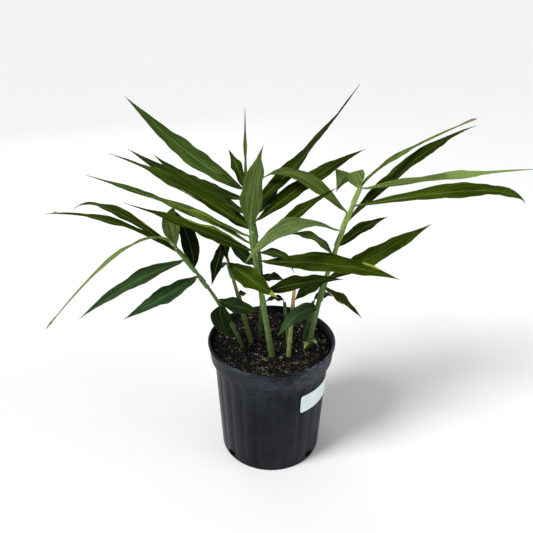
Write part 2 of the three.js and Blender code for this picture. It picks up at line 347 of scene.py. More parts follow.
def makeFloor():
    wire = newMaterial("pale_floor")
    cloud = wire.place().speckle(3)
    pale = studio["floorTone"]
    tone = cloud.ramp((0, (pale,) * 3), (1, (pale * studio["floorShade"],) * 3))
    material = finishMaterial(wire, tone, 0.9, cloud, 0.05, gloss=0.1)
    edge = [polar(studio["floor"] * mm, math.radians(a), 0) for a in range(0, 360, 10)]
    floor = newObject("floor", meshOf("floor", edge, [tuple(range(len(edge)))]), material)


makeCamera()
makeLight()
makeFloor()
print("camera, light and floor")


pot = {
    "height": 155, "rim": 77, "bead": 4, "collar": 24, "collarRadius": 75.5,
    "wallTop": 69.5, "base": 62.5, "chamfer": 0.8, "wall": 1.5, "floor": 2.4,
    "foot": 52, "footSlope": 1.2, "recess": 0.8, "step": 3, "segments": 288,
    "collarLedge": 1.4, "collarRise": 2.5, "edge": 1,
    "flutes": 24, "fluteDepth": 0.8, "fluteFoot": 14, "fluteTop": 122,
    "pleats": 72, "pleatDepth": 0.35, "pleatTop": 12, "rounding": 0.6,
}
drain = {
    "angles": (40, 140, 220, 320), "width": 12, "height": 8, "sill": 3, "reach": 16,
    "sides": 24, "corner": 0.45,
}
collarFoot = pot["height"] - pot["collar"]
lipRadius = pot["collarRadius"] - pot["wall"]
collarInside = lipRadius - 1


def outsideRadius(z):
    return mixed(pot["base"], pot["wallTop"], z / collarFoot)


def insideRadius(z):
    return outsideRadius(z) - pot["wall"] - pot["fluteDepth"]


def potMaterial():
    wire = newMaterial("pot_plastic")
    place = wire.place()
    x, y, z = place.parts()
    turn = wire.sum("ARCTAN2", y, x)
    around = wire.vector(turn, z * 14, 0.0)
    brushed = around.stretched(2.2, 26, 1).speckle(4, 5, 0.65)  # long level rubs
    patches = place.speckle(16, 4, 0.6)
    grit = place.speckle(420, 2, 0.6)
    scratches = around.stretched(9, 60, 1).speckle(7, 2, 0.5).ease(0.62, 0.70)
    dust = brushed.ease(0.40, 0.64) * patches.ease(0.36, 0.60)
    # high and side mark the upper right of the collar, where the painted sheen goes
    high = z.ease(0.095, 0.150)
    side = (x + 0.35 * z).ease(-0.02, 0.10)
    # dust and scratches are the pot's own wear; weighting the dust far more on the upper right adds
    # a painted sheen
    marksAndPaintedLight = dust * (0.12 + 0.88 * high * side) + scratches * 0.25 * high
    rim = z.ease(0.1505, 0.1525) * patches.ease(0.45, 0.60)
    black = patches.ramp((0.3, (0.0022, 0.0028, 0.0042)), (0.75, (0.0060, 0.0074, 0.0110)))
    color = black.towards((0.120, 0.135, 0.165), (marksAndPaintedLight + 0.25 * rim) * 0.85)
    roughness = 0.30 + 0.30 * marksAndPaintedLight + 0.16 * patches
    relief = grit * 0.5 + brushed * 0.6
    return finishMaterial(wire, color, roughness, relief, 0.14, gloss=0.12, tint=(0.72, 0.85, 1))


def turnedPot(given):
    # turns the profile line round the upright axis and presses the flutes and pleats in
    line = given["Geometry"].node("GeometryNodeMeshToCurve", {}, {0: given["Geometry"]})
    values = {"Curve": line, "Count": 3, "Radius": given["rounding"], "Limit Radius": True}
    line = line.node("GeometryNodeFilletCurve", {"mode": "POLY"}, values)
    values = {"Resolution": given["segments"], "Radius": 1e-6}
    ring = line.node("GeometryNodeCurvePrimitiveCircle", {}, values)
    body = ring.node("GeometryNodeCurveToMesh", {}, {"Curve": ring, "Profile Curve": line})
    body = body.node("GeometryNodeMergeByDistance", {}, {"Geometry": body, "Distance": 2e-5})

    place = body.node("GeometryNodeInputPosition")
    x, y, z = place.parts()
    turn = place.sum("ARCTAN2", y, x)
    radius = (x * x + y * y) ** 0.5
    outer = (radius - given["base"] - z * given["slope"]).ease(-0.0010, -0.0006)  # 0 inside
    blend = 0.003
    wall = z.ease(given["fluteFoot"] - blend, given["fluteFoot"])
    wall = wall * (1 - z.ease(given["fluteTop"], given["fluteTop"] + 2 * blend))
    groove = (0.5 + 0.5 * (turn * given["flutes"]).cosine()) ** 2
    pleat = 0.5 + 0.5 * (turn * given["pleats"]).cosine()
    band = z.ease(0.001, 0.002) * (1 - z.ease(given["pleatTop"] - 0.001, given["pleatTop"]))
    depth = outer * (wall * groove * given["fluteDepth"] + band * pleat * given["pleatDepth"])
    inward = place.vector(0 - x * depth / radius, 0 - y * depth / radius, 0.0)
    return body.node("GeometryNodeSetPosition", {}, {"Geometry": body, "Offset": inward})


def potLine():
    # from the middle of the underside, up the outside, over the rim and down to the floor
    top, rim, collar, edge = pot["height"], pot["rim"], pot["collarRadius"], pot["edge"]
    beadFoot = top - pot["bead"]
    rise = collarFoot - pot["chamfer"]
    steps = round(rise / pot["step"])
    heights = [pot["chamfer"] + rise * k / steps for k in range(steps + 1)]
    line = [
        (0, pot["recess"]), (pot["foot"], pot["recess"]), (pot["foot"] + pot["footSlope"], 0),
        (pot["base"] - pot["chamfer"], 0), *((outsideRadius(z), z) for z in heights),
        (collar - pot["collarLedge"], collarFoot + pot["collarRise"]),
        (collar - pot["collarLedge"] / 2, (collarFoot + beadFoot) / 2), (collar, beadFoot),
        (rim, beadFoot + edge), (rim, top - edge), (rim - edge, top), (lipRadius, top),
        (collarInside, collarFoot + 4 * edge), (insideRadius(collarFoot), collarFoot + edge),
        (insideRadius(pot["floor"]), pot["floor"]), (0, pot["floor"]),
    ]
    return [(radius * mm, -z * mm, 0) for radius, z in line]


def drainCutters():
    # a block with round corners through the wall at each slot
    def squared(value):
        return math.copysign(abs(value) ** drain["corner"], value)

    points, faces = [], []
    middle = drain["sill"] + drain["height"] / 2
    for angle in drain["angles"]:
        turn = Matrix.Rotation(math.radians(angle), 4, "Z")
        rings = []
        for x in (-drain["reach"] / 2, drain["reach"] / 2):
            ring = []
            for k in range(drain["sides"]):
                corner = math.radians(360 * (k + 0.5) / drain["sides"])
                y = drain["width"] * 0.5 * squared(math.cos(corner))
                z = drain["height"] * 0.5 * squared(math.sin(corner))
                ring.append(turn @ Vector((pot["base"] + x, y, middle + z)) * mm)
            rings.append(ring)
        closedTube(rings, points, faces)
    return newObject("drain_cutters", meshOf("drain_cutters", points, faces))


def makePot():
    line = potLine()
    mesh = bpy.data.meshes.new("pot_line")
    mesh.from_pydata(line, [(k, k + 1) for k in range(len(line) - 1)], [])
    piece = newObject("fluted_pot", mesh)
    lengths = ("rounding", "base", "fluteDepth", "fluteFoot", "fluteTop", "pleatDepth", "pleatTop")
    values = {name: pot[name] * mm for name in lengths}
    values.update({name: float(pot[name]) for name in ("flutes", "pleats")})
    values["segments"] = pot["segments"]
    values["slope"] = (pot["wallTop"] - pot["base"]) / collarFoot
    values["material"] = potMaterial()
    growTree(piece, "turnedPot", values, turnedPot)
    cutters = drainCutters()
    cut = piece.modifiers.new("slots", "BOOLEAN")
    cut.operation = "DIFFERENCE"
    cut.object = cutters
    bakeModifiers(piece, 32)
    bpy.data.objects.remove(cutters)
    settle(piece, "pot", "nursery_pot")


makePot()
print("pot")


label = {
    "left": 300, "right": 344, "foot": 88, "head": 113, "thick": 0.35, "gap": 0.35,
    "corner": 2.5, "columns": 44, "rows": 14,
}


def labelMaterial():
    wire = newMaterial("label_paper")
    place = wire.place()
    grain = place.speckle(900, 2)
    stain = place.speckle(60, 4, 0.6)
    paper = stain.ramp((0.35, (0.80, 0.93, 0.92)), (0.7, (0.72, 0.84, 0.83)))
    return finishMaterial(wire, paper, 0.38 + 0.2 * stain, grain, 0.03)


def makeLabel():
    rows = []
    for k in range(label["columns"] + 1):
        share = k / label["columns"]
        angle = math.radians(mixed(label["left"], label["right"], share))
        span = math.radians(label["right"] - label["left"]) * pot["wallTop"]
        reach = min(share, 1 - share) * span
        short = max(label["corner"] - reach, 0)
        inset = label["corner"] - math.sqrt(label["corner"] ** 2 - short ** 2)
        row = []
        for n in range(label["rows"] + 1):
            z = mixed(label["foot"] + inset, label["head"] - inset, n / label["rows"])
            row.append(polar(outsideRadius(z) + label["gap"] + label["thick"], angle, z) * mm)
        rows.append(row)
    points, faces = [], []
    closedSheet(rows, lambda i, j: label["thick"] * mm, points, faces)
    settle(newObject("blank_label", meshOf("blank_label", points, faces), labelMaterial()),
           "label", "pot_label")


makeLabel()
print("label")


# Each stem has its foot and top, its radii, and its tone and bloom (0 green, 1 bluish) at the
# foot and at the top. joints are the heights of its rings, bow is how far its middle bows off
# the straight line, and blush is how red its foot is.
def oneShoot(foot, top, girth, tones, blooms, joints=(), bow=(0, 0), blush=0):
    return {"foot": foot, "top": top, "girth": girth, "tones": tones, "blooms": blooms,
            "joints": joints, "bow": bow, "blush": blush, "leaves": []}


shoots = {
    "shoot_left": oneShoot((-35, -10), (-100, -40, 290), (2.7, 1.6), (0.46, 0.55), (0.6, 0.3),
                           (156,), bow=(6, 0)),
    "shoot_left_back": oneShoot((-25, 0), (-55, -10, 285), (3.1, 1.3), (0.62, 0.52), (0.1, 0.2),
                                (160, 182)),
    "shoot_front": oneShoot((0, -25), (-25, -40, 320), (3.8, 1.5), (0.55, 0.62), (0.4, 0.1)),
    "shoot_back": oneShoot((-15, 5), (-30, 15, 335), (2.4, 1.3), (0.35, 0.50), (0.4, 0.2),
                           (154, 160), bow=(8, 0), blush=1),
    "shoot_small": oneShoot((20, 0), (15, 0, 205), (2.2, 1.2), (0.62, 0.30), (0.0, 0.4), (170,)),
    "shoot_right": oneShoot((45, -5), (90, -5, 345), (3.4, 1.8), (0.52, 0.92), (0.5, 0.0), (158,),
                            bow=(-5, 0)),
    "shoot_right_back": oneShoot((40, 10), (50, 20, 195), (2.4, 1.3), (0.15, 0.30), (0.3, 0.6)),
    "stalk_dry": oneShoot((20, -25), (25, -20, 245), (2.8, 1.7), (0.85, 0.85), (0, 0), (176, 212)),
}


# A leaf has its place along the stem, below sproutBelow for a sprout with no sheath, and its
# tip. arch lifts the blade's middle, crest moves that height towards the root or the tip, and
# sweep shifts the middle to the left, seen from the stem. roll lifts the left edge, and twist
# is added to it by the tip. clasp is how far the blade hugs the stem. tone runs from 0 dark to
# 1 bright, under is how pale both faces are and back how pale the lower one is. dry, yellow and
# pale list (from, to, side) along the blade, side 1 left, -1 right, 0 both. knot is the place,
# size and reach of a dried swelling.
plainLeaf = {
    "sweep": 0, "crest": 0.5, "twist": 0, "clasp": 9, "under": 0, "back": 0.45, "dry": (),
    "yellow": (), "pale": (), "knot": None,
}


def oneLeaf(at, tip, arch, width, roll, tone, bloom=0, **given):
    main = {"at": at, "tip": tip, "arch": arch, "width": width, "roll": roll, "tone": tone,
            "bloom": bloom}
    return {**plainLeaf, **main, **given}


shoots["shoot_left"]["leaves"] = [
    oneLeaf(0.45, (-42, -40, 175), 5, 26, 0, 0.14, 0.3, sweep=-8),
    oneLeaf(0.50, (-15, -15, 200), 0, 18, 40, 0.28, 0.5),
    oneLeaf(0.75, (-150, -90, 235), 0, 20, -20, 0.50, 0.9),
    oneLeaf(0.90, (-195, -90, 235), 8, 20, -15, 0.50, 0.8),
    oneLeaf(0.80, (-110, 0, 320), 5, 20, 0, 0.10, 0.1, sweep=-4),
    oneLeaf(0.95, (-230, -45, 330), 14, 14, 0, 0.36, dry=[(0.90, 0.95, 0)], pale=[(0.96, 1.0, 0)],
            knot=(0.925, 2.5, 0.016)),
    oneLeaf(0.95, (-220, 10, 315), 18, 16, 0, 0.38, crest=0.75, dry=[(0.22, 0.30, -1)]),
    oneLeaf(1.00, (-105, -5, 325), 5, 18, 0, 0.52, 0.15, sweep=6, under=0.6),
    oneLeaf(1.00, (-228, -95, 226), 34, 10, 50, 1.0, crest=0.2, twist=-70, under=1.0,
            dry=[(0.95, 1.0, 0)], knot=(0.975, 1.5, 0.018)),
]
shoots["shoot_left_back"]["leaves"] = [
    oneLeaf(0.80, (5, -80, 255), 2, 22, 35, 0.46, sweep=-2, yellow=[(0.86, 0.97, 0)],
            dry=[(0.955, 1.0, 0)]),
    oneLeaf(1.00, (-67, -30, 242), 0, 14, 0, 0.10),
    oneLeaf(1.00, (-50, -25, 270), 5, 12, 0, 0.10),
    oneLeaf(0.80, (-70, -15, 250), 2, 6, -40, 0.7, 0.7, under=0.8),
    oneLeaf(0.50, (-30, 0, 215), 1, 8, 30, 0.25, 0.6),
]
shoots["shoot_front"]["leaves"] = [
    oneLeaf(0.80, (-143, -70, 352), 2, 18, -50, 0.40, twist=60, yellow=[(0.08, 0.55, -1)],
            dry=[(0.93, 1.0, 0)]),
    oneLeaf(0.70, (-50, -35, 300), 0, 14, -50, 0.30, 0.7),
    oneLeaf(0.85, (-130, -40, 350), 4, 14, 0, 0.75, yellow=[(0.1, 0.8, -1)]),
    oneLeaf(0.90, (-195, -10, 360), 3, 18, 0, 0.64, 0.35, yellow=[(0.34, 0.60, 1)]),
    oneLeaf(0.95, (-11, -60, 405), 5, 25, 0, 0.70, 0.15, sweep=-3, under=0.35),
    oneLeaf(0.50, (68, -85, 280), 4, 20, 30, 0.18, back=0.0),
    oneLeaf(0.03, (5, -25, 165), 1, 5, 0, 0.8),
]
shoots["shoot_back"]["leaves"] = [
    oneLeaf(0.45, (12, -30, 250), 1, 14, 30, 0.2),
    oneLeaf(0.55, (130, -60, 267), 8, 26, 25, 0.42, crest=0.6, yellow=[(0.70, 0.84, 1)]),
    oneLeaf(0.60, (25, 5, 240), 14, 14, 20, 0.45, 0.3, crest=0.7),
    oneLeaf(0.65, (65, -15, 350), 4, 16, 40, 0.26),
    oneLeaf(0.75, (-90, 35, 330), 0, 16, -30, 0.30, 0.15),
    oneLeaf(0.75, (-180, 30, 372), 7, 22, -35, 0.50, crest=0.6, twist=50,
            dry=[(0.34, 0.46, 1), (0.94, 1.0, 0)]),
    oneLeaf(0.80, (105, 65, 370), 7, 20, 30, 0.30),
    oneLeaf(0.85, (5, 60, 330), 2, 16, 20, 0.38, 0.5, sweep=-5),
    oneLeaf(0.85, (-175, 95, 360), -4, 20, -30, 0.34, 0.15),
    oneLeaf(0.90, (100, 110, 435), -10, 24, 35, 0.26, twist=-95, back=0.0),
    oneLeaf(0.95, (-155, 140, 342), -12, 18, -30, 0.30),
    oneLeaf(1.00, (-65, 5, 360), 1, 12, 0, 0.45),
    oneLeaf(1.00, (-50, 40, 375), 2, 14, 0, 0.46),
    oneLeaf(1.00, (-163, 55, 429), -8, 20, -50, 0.60, 0.35),
    oneLeaf(1.00, (-32, 50, 417), 0, 5, -50, 0.5),
]
shoots["shoot_small"]["leaves"] = [
    oneLeaf(1.00, (-10, 0, 203), 5, 12, 0, 0.22, 0.2),
]
shoots["shoot_right"]["leaves"] = [
    oneLeaf(0.01, (38, -20, 150), 5, 6, 0, 1.0, pale=[(0.0, 0.9, 0)]),
    oneLeaf(0.02, (54, -17, 156), 4, 7, 0, 1.0, pale=[(0.0, 0.9, 0)]),
    oneLeaf(0.25, (5, -60, 195), 11, 18, -30, 0.55, 0.9),
    oneLeaf(0.25, (35, 5, 200), 1, 8, -30, 0.50, 0.9),
    oneLeaf(0.40, (100, -35, 205), 3, 14, 0, 0.40, yellow=[(0.45, 0.7, -1)],
            dry=[(0.52, 0.58, -1)]),
    oneLeaf(0.45, (190, 50, 285), -2, 22, 30, 0.52),
    oneLeaf(0.45, (25, -15, 215), 4, 20, -20, 0.26, 0.1),
    oneLeaf(0.65, (135, 45, 295), 5, 16, 10, 0.26, dry=[(0.0, 0.16, 1)], pale=[(0.9, 1.0, 0)]),
    oneLeaf(0.60, (12, 15, 284), 12, 14, -10, 0.62, 0.3, crest=0.35, under=0.4),
    oneLeaf(0.75, (-30, -55, 280), 26, 20, 10, 0.90, 0.4, crest=0.6, twist=-70, under=0.7),
    oneLeaf(0.80, (240, 100, 390), 15, 20, 0, 0.30),
    oneLeaf(0.85, (-20, 40, 335), 26, 18, -45, 0.56, crest=0.65, twist=50, under=0.3),
    oneLeaf(0.90, (256, -30, 340), 15, 20, 25, 0.44, crest=0.9, pale=[(0.93, 1.0, 0)]),
    oneLeaf(1.00, (70, 27, 331), 20, 30, -30, 0.74, twist=90, under=0.6, clasp=2),
    oneLeaf(1.00, (280, 15, 363), 2, 18, 5, 0.80, under=0.5, pale=[(0.5, 0.95, 0)]),
    oneLeaf(1.00, (255, 145, 389), 12, 8, -20, 0.80, crest=0.1, twist=30, dry=[(0.90, 1.0, 0)],
            knot=(0.97, 2.2, 0.05)),
]
shoots["shoot_right_back"]["leaves"] = [
    oneLeaf(1.00, (75, 30, 195), 6, 12, 20, 0.38, 0.8),
]


# rise is where stems leave the soil and burial where they start; collar (under each leaf),
# joint, seam and lumps stand off the stem by so much
stem = {
    "rise": 148, "burial": 120, "sides": 28, "step": 2.4, "sproutBelow": 0.1,
    "collar": 0.25, "collarEnd": 0.96, "shortest": 0.02, "narrowing": 0.55, "end": 3,
    "joint": 0.45, "jointReach": 1.3, "jointMark": 0.9, "blushFrom": 10, "blushFull": 3,
    "seam": 0.22, "seamReach": 0.22, "seamTurn": 0.6, "seamStart": 0.06,
    "lumps": 0.12, "lumpsAround": 3, "lumpLength": 9,
}
# thin and rib change the thickness towards the edge and at the midrib; wave, ripple, pleat and
# channel are heights; uneven is how far an outline strays, and wander over what length
blade = {
    "thick": 0.42, "thin": 0.45, "rib": 0.75, "ribReach": 0.7, "stations": 60, "columns": 10,
    "stationPower": 1.1, "columnPower": 1.25, "measure": 20, "phase": 1.7,
    "root": 1.6, "least": 0.12, "body": 0.45, "soft": 0.025, "base": 9, "baseMost": 0.09,
    "gap": 0.12, "gapStep": 0.07, "sheath": 17, "sheathSteps": 8, "wrapTop": 0.5,
    "wrapFoot": 2.1, "wrapPower": 1.3, "claspMost": 0.4, "launch": 0.8,
    "fold": 0.2, "wave": 1.3, "waves": 16, "ripple": 0.35, "ripples": 15,
    "pleat": 0.13, "pleatStep": 3.6, "pleatSlope": 0.16, "channel": 0.30, "channelReach": 0.8,
    "uneven": 2.1, "unevenMost": 0.28, "wander": 14, "fullRelief": 6, "fullChannel": 3,
}


def curvePoint(ends, t):
    start, handle, tip = ends
    return start * (1 - t) ** 2 + handle * 2 * t * (1 - t) + tip * t * t


def curveTangent(ends, t):
    start, handle, tip = ends
    return ((handle - start) * (1 - t) + (tip - handle) * t).normalized()


def curveEnds(start, tip, shift, crest=0.5):
    return start, start.lerp(tip, crest) + shift * 2, tip


def stemEnds(shoot):
    foot = Vector((*shoot["foot"], stem["rise"]))
    return curveEnds(foot, Vector(shoot["top"]), Vector((*shoot["bow"], 0)))


def leafAngle(shoot, leaf):
    out = Vector(leaf["tip"]) - curvePoint(stemEnds(shoot), leaf["at"])
    return math.atan2(out.y, out.x)


def stemRadius(shoot, t):
    return mixed(*shoot["girth"], min(max(t, 0), 1))


def stemRings(shoot):
    # rings up the stem with the sheath edges and joints on them, and the height share of each
    ends = stemEnds(shoot)
    length = (ends[2] - ends[0]).length
    leaves = [leaf for leaf in shoot["leaves"] if leaf["at"] > stem["sproutBelow"]]
    leaves.sort(key=lambda leaf: leaf["at"])
    places = [0.0] + [leaf["at"] for leaf in leaves]
    buried = stem["rise"] - stem["burial"]
    count = round((length + buried) / stem["step"])
    rings = []
    lay = []
    for k in range(count + 1):
        run = (length + buried) * k / count - buried
        t = run / length
        centre = curvePoint(ends, t) if t > 0 else Vector((*shoot["foot"], stem["rise"] + run))
        above = next((n for n, place in enumerate(places) if place > t), len(places) - 1)
        low, high = places[max(above - 1, 0)], places[above]
        share = min(max((t - low) / max(high - low, stem["shortest"]), 0), 1) if high > low else 0
        extra = stem["collar"] * share ** 3 * (1 - eased(share, stem["collarEnd"], 1.0))
        for joint in shoot["joints"]:
            extra += stem["joint"] * bump(centre.z - joint, stem["jointReach"])
        end = 1 - stem["narrowing"] * eased(run, length - stem["end"], length)
        heading = leafAngle(shoot, leaves[above - 1]) if leaves and above else 0
        ring = []
        for n in range(stem["sides"]):
            angle = 2 * math.pi * n / stem["sides"]
            off = math.remainder(angle - heading - math.pi - stem["seamTurn"] * share, 2 * math.pi)
            seam = stem["seam"] * bump(off, stem["seamReach"]) * eased(t, 0.0, stem["seamStart"])
            radius = stemRadius(shoot, t) * end + extra + seam
            spot = polar(stem["lumpsAround"], angle, run / stem["lumpLength"])
            radius += stem["lumps"] * noise.noise(spot)
            ring.append((centre + polar(radius, angle, 0)) * mm)
            lay.append((angle, run, t))
        rings.append(ring)
    return rings, lay


def halfWidth(leaf, s):  # widest a little before the middle
    shape = math.sin(math.pi * min(s, 1) ** 0.82) ** 1.2 if 0 < s < 1 else 0
    root = blade["root"] * (1 - s) ** 2
    half = max(leaf["width"] * 0.5 * shape, root, blade["body"] * (1 - s ** 6) + blade["least"])
    if leaf["knot"]:
        place, size, reach = leaf["knot"]
        half += size * bump(s - place, reach)
    return half


def spots(leaf, kind, s, u):
    # how strongly a dry, yellow or pale stretch shows here
    strength = 0
    soft = blade["soft"]
    for low, high, side in leaf[kind]:
        along = eased(s, low - soft, low + soft)
        if high < 1:
            along *= 1 - eased(s, high - soft, high + soft)
        across = eased(u * side, 0.40, 0.90) if side else 1
        strength = max(strength, along * across)
    return strength


def edgeShift(u, s, length, half, phase):
    # the share by which a blade is wider or narrower here; each edge wanders on its own
    uneven = math.sin(math.pi * s) * min(blade["unevenMost"], blade["uneven"] / half)
    hand = 1.9 if u > 0 else 0
    run = s * length / blade["wander"]
    slow = noise.noise(Vector((run, 5 * phase, 3 * hand)))
    quick = noise.noise(Vector((2.5 * run, 3 * phase, 5 * hand)))
    return 1 + uneven * slow + 0.2 * uneven * quick


def edgeLift(u, s, length, half, phase):
    # how far the blade stands off its flat form: fold, wavy margin, ripples, pleats, channel
    edge = abs(u)
    hand = 1.9 if u > 0 else 0
    swell = math.sin(math.pi * s)
    full = min(1, half / blade["fullRelief"])
    wave = blade["wave"] * swell * math.sin(blade["waves"] * s + phase) * full
    lift = half * blade["fold"] * (1.35 * edge - 0.35 * edge ** 3)
    lift += wave * edge ** 1.5 * math.copysign(1, u)
    fine = 2 * noise.noise(Vector((blade["ripples"] * s, 2.1 * phase, 4 * hand)))
    lift += blade["ripple"] * swell * fine * edge ** 3 * full
    ridge = 2 * math.pi * (edge * half - blade["pleatSlope"] * s * length) / blade["pleatStep"]
    lift += blade["pleat"] * math.cos(ridge) * full * eased(edge, 0.05, 0.3)
    dip = blade["channel"] * bump(u * half, blade["channelReach"]) * (1 - s) ** 0.5
    return lift - dip * min(1, half / blade["fullChannel"])


def addLeaf(shoot, leaf, index, points, faces, lay, mood, more):
    ends = stemEnds(shoot)
    at = leaf["at"]
    root = curvePoint(ends, at)
    rise = curveTangent(ends, at)
    heading = polar(1, leafAngle(shoot, leaf), 0)
    left = up.cross(heading)
    line = curveEnds(root, Vector(leaf["tip"]), up * leaf["arch"] + left * leaf["sweep"],
                     leaf["crest"])
    marks = [curvePoint(line, k / blade["measure"]) for k in range(blade["measure"] + 1)]
    length = sum((b - a).length for a, b in zip(marks, marks[1:]))
    phase = index * blade["phase"]
    clasp = min(leaf["clasp"], blade["claspMost"] * length)
    sprout = at < stem["sproutBelow"]
    radius = stemRadius(shoot, at) + blade["gap"] + blade["gapStep"] * (index % 4)
    columns = blade["columns"]
    shares = [math.copysign((abs(j) / columns) ** blade["columnPower"], j)
              for j in range(-columns, columns + 1)]

    def wrapped(u, reach, height):
        # a point on the sheath: reach is its half angle, height the way up the stem
        side = heading * math.cos(u * reach) + left * math.sin(u * reach)
        side = (side - rise * side.dot(rise)).normalized()
        return root + side * radius + rise * height

    rows = []
    rowPlaces = []
    if not sprout:
        span = min(blade["sheath"], at * (ends[2] - ends[0]).length * 0.5)
        for k in range(blade["sheathSteps"]):
            low = 1 - k / blade["sheathSteps"]
            reach = blade["wrapTop"] + blade["wrapFoot"] * low ** blade["wrapPower"]
            rows.append([wrapped(u, reach, -span * low) for u in shares])
            rowPlaces.append(-low * span / length)
    for k in range(blade["stations"] + 1):
        s = (k / blade["stations"]) ** blade["stationPower"]
        along = curveTangent(line, s)
        roll = math.radians(leaf["roll"] + leaf["twist"] * s)
        side = Matrix.Rotation(roll, 3, along) @ up.cross(along).normalized()
        normal = along.cross(side)
        centre = curvePoint(line, s)
        half = halfWidth(leaf, s)
        join = 1 if sprout else eased(s * length, 0, clasp)
        row = []
        for u in shares:
            wide = u * half * edgeShift(u, s, length, half, phase)
            point = centre + side * wide + normal * edgeLift(u, s, length, half, phase)
            if join < 1:
                start = wrapped(u, blade["wrapTop"], 0) + rise * (blade["launch"] * s * length)
                point = start.lerp(point, join)
            row.append(point)
        rows.append(row)
        rowPlaces.append(s)

    def thickness(i, j):
        s = max(rowPlaces[i], 0)
        rib = bump(shares[j] * halfWidth(leaf, s), blade["ribReach"])
        flat = blade["thick"] * (1 - blade["thin"] * abs(shares[j]))
        return (flat + blade["rib"] * rib * (1 - s) ** 0.6) * mm

    rows = [[point * mm for point in row] for row in rows]
    closedSheet(rows, thickness, points, faces)
    for under in (0, 1):
        pallor = max(under * leaf["back"], leaf["under"])
        for s in rowPlaces:
            half = halfWidth(leaf, max(s, 0))
            base = 1 - eased(s, 0.0, min(blade["baseMost"], blade["base"] / length))
            tone = mixed(leaf["tone"], mixed(*shoot["tones"], at), base)
            bloom = mixed(leaf["bloom"], mixed(*shoot["blooms"], at), base)
            for u in shares:
                lay.append((u * half, s * length, s))
                mood.append((tone, bloom, pallor))
                pale = max(base, spots(leaf, "pale", s, u) * 0.8)
                more.append((spots(leaf, "dry", s, u), spots(leaf, "yellow", s, u), pale))


def leafMaterial():
    wire = newMaterial("ginger_leaf")
    across, along, share = wire.attribute("lay").parts()
    tone, bloom, under = wire.attribute("mood").parts()
    dry, yellow, pale = wire.attribute("more").parts()
    place = wire.place()
    cloud = place.speckle(38, 4, 0.6)
    fine = place.speckle(260, 3, 0.6)
    out = abs(across)
    line = out - along * 0.16 + 0.8 * cloud  # veins leave the rib at a low angle
    vein = (line * 5.2).cosine() * 0.5 + 0.5
    pleat = (line * 1.75).cosine() * 0.5 + 0.5
    streak = wire.vector(across * 0.40, along * 0.030, tone * 9).speckle(1.0, 4, 0.65)
    band = wire.vector(across * 0.12, along * 0.018, tone * 13).speckle(1.0, 3, 0.5)
    rib = (1 - out.ease(0.2, 0.65)) * (1 - share.ease(0.5, 0.95)) * (0.35 + 0.9 * cloud)
    # the leaf's own mottle and veins, with painted light and shade in the pleat stripes and long
    # bands for the light on the folded, wavy blade
    shade = tone + 0.14 * (cloud - 0.5) + 0.11 * (pleat - 0.5) + 0.05 * (vein - 0.5)
    shade = shade + 0.75 * (band - 0.5)
    green = shade.ramp(
        (0.0, (0.0055, 0.0095, 0.0008)), (0.3, (0.028, 0.043, 0.0018)),
        (0.55, (0.068, 0.11, 0.0065)), (0.8, (0.125, 0.2, 0.025)),
        (1.0, (0.24, 0.34, 0.08)))
    green = green.towards((0.045, 0.12, 0.07), bloom * (0.35 + 0.45 * tone))
    green = green.towards((0.23, 0.31, 0.11), under * (0.45 + 0.15 * vein + 0.3 * band))
    # painted shade in streaks along the veins: partly the leaf's own streaks, partly the light and
    # shadow of its pleats
    marksAndPaintedLight = (0.8 * streak + 0.2 * vein).ramp((0.34, (0.38, 0.42, 0.34)), (0.50, (0.7, 0.72, 0.66)),
                                            (0.64, (1.0, 1.0, 1.0)))
    green = green.shaded(marksAndPaintedLight)
    green = green.towards((0.25, 0.34, 0.11), rib * (0.25 + 0.40 * tone))
    sheath = tone.ramp((0.1, (0.03, 0.07, 0.016)), (0.5, (0.098, 0.178, 0.038)),
                       (1.0, (0.3, 0.41, 0.12)))
    sheath = sheath.towards((0.075, 0.165, 0.105), bloom * 0.6)
    color = green.towards(sheath, pale)
    ligule = (1 - (abs(along + 0.5) + 1.6 * (cloud - 0.5)).ease(0.6, 1.7)) * tone.ease(0.1, 0.4)
    color = color.towards((0.52, 0.56, 0.33), ligule * 0.55)
    ragged = 0.55 * (fine - 0.5) + 0.5 * (cloud - 0.5)
    color = color.towards((0.36, 0.43, 0.05), (yellow + ragged).ease(0.35, 0.9) * 0.65)
    burnt = (dry + ragged).ease(0.5, 0.66)
    straw = fine.ramp((0.35, (0.09, 0.06, 0.03)), (0.65, (0.43, 0.33, 0.21)))
    color = color.towards((0.15, 0.085, 0.02), (dry + ragged).ease(0.28, 0.5) * 0.7)
    color = color.towards(straw, burnt)
    roughness = 0.52 + 0.16 * cloud + 0.14 * under + 0.15 * burnt
    relief = 0.45 * vein + 1.0 * pleat + 0.35 * fine + 1.4 * streak + 1.5 * band
    return finishMaterial(wire, color, roughness, relief, 0.3, gloss=0.03, tint=(0.6, 0.85, 0.4))


def stemStreak(wire, turn, height, scale):  # long streaks that run on round the stem
    return wire.vector(turn.cosine() * 4, turn.sine() * 4, height).speckle(scale, 4, 0.65)


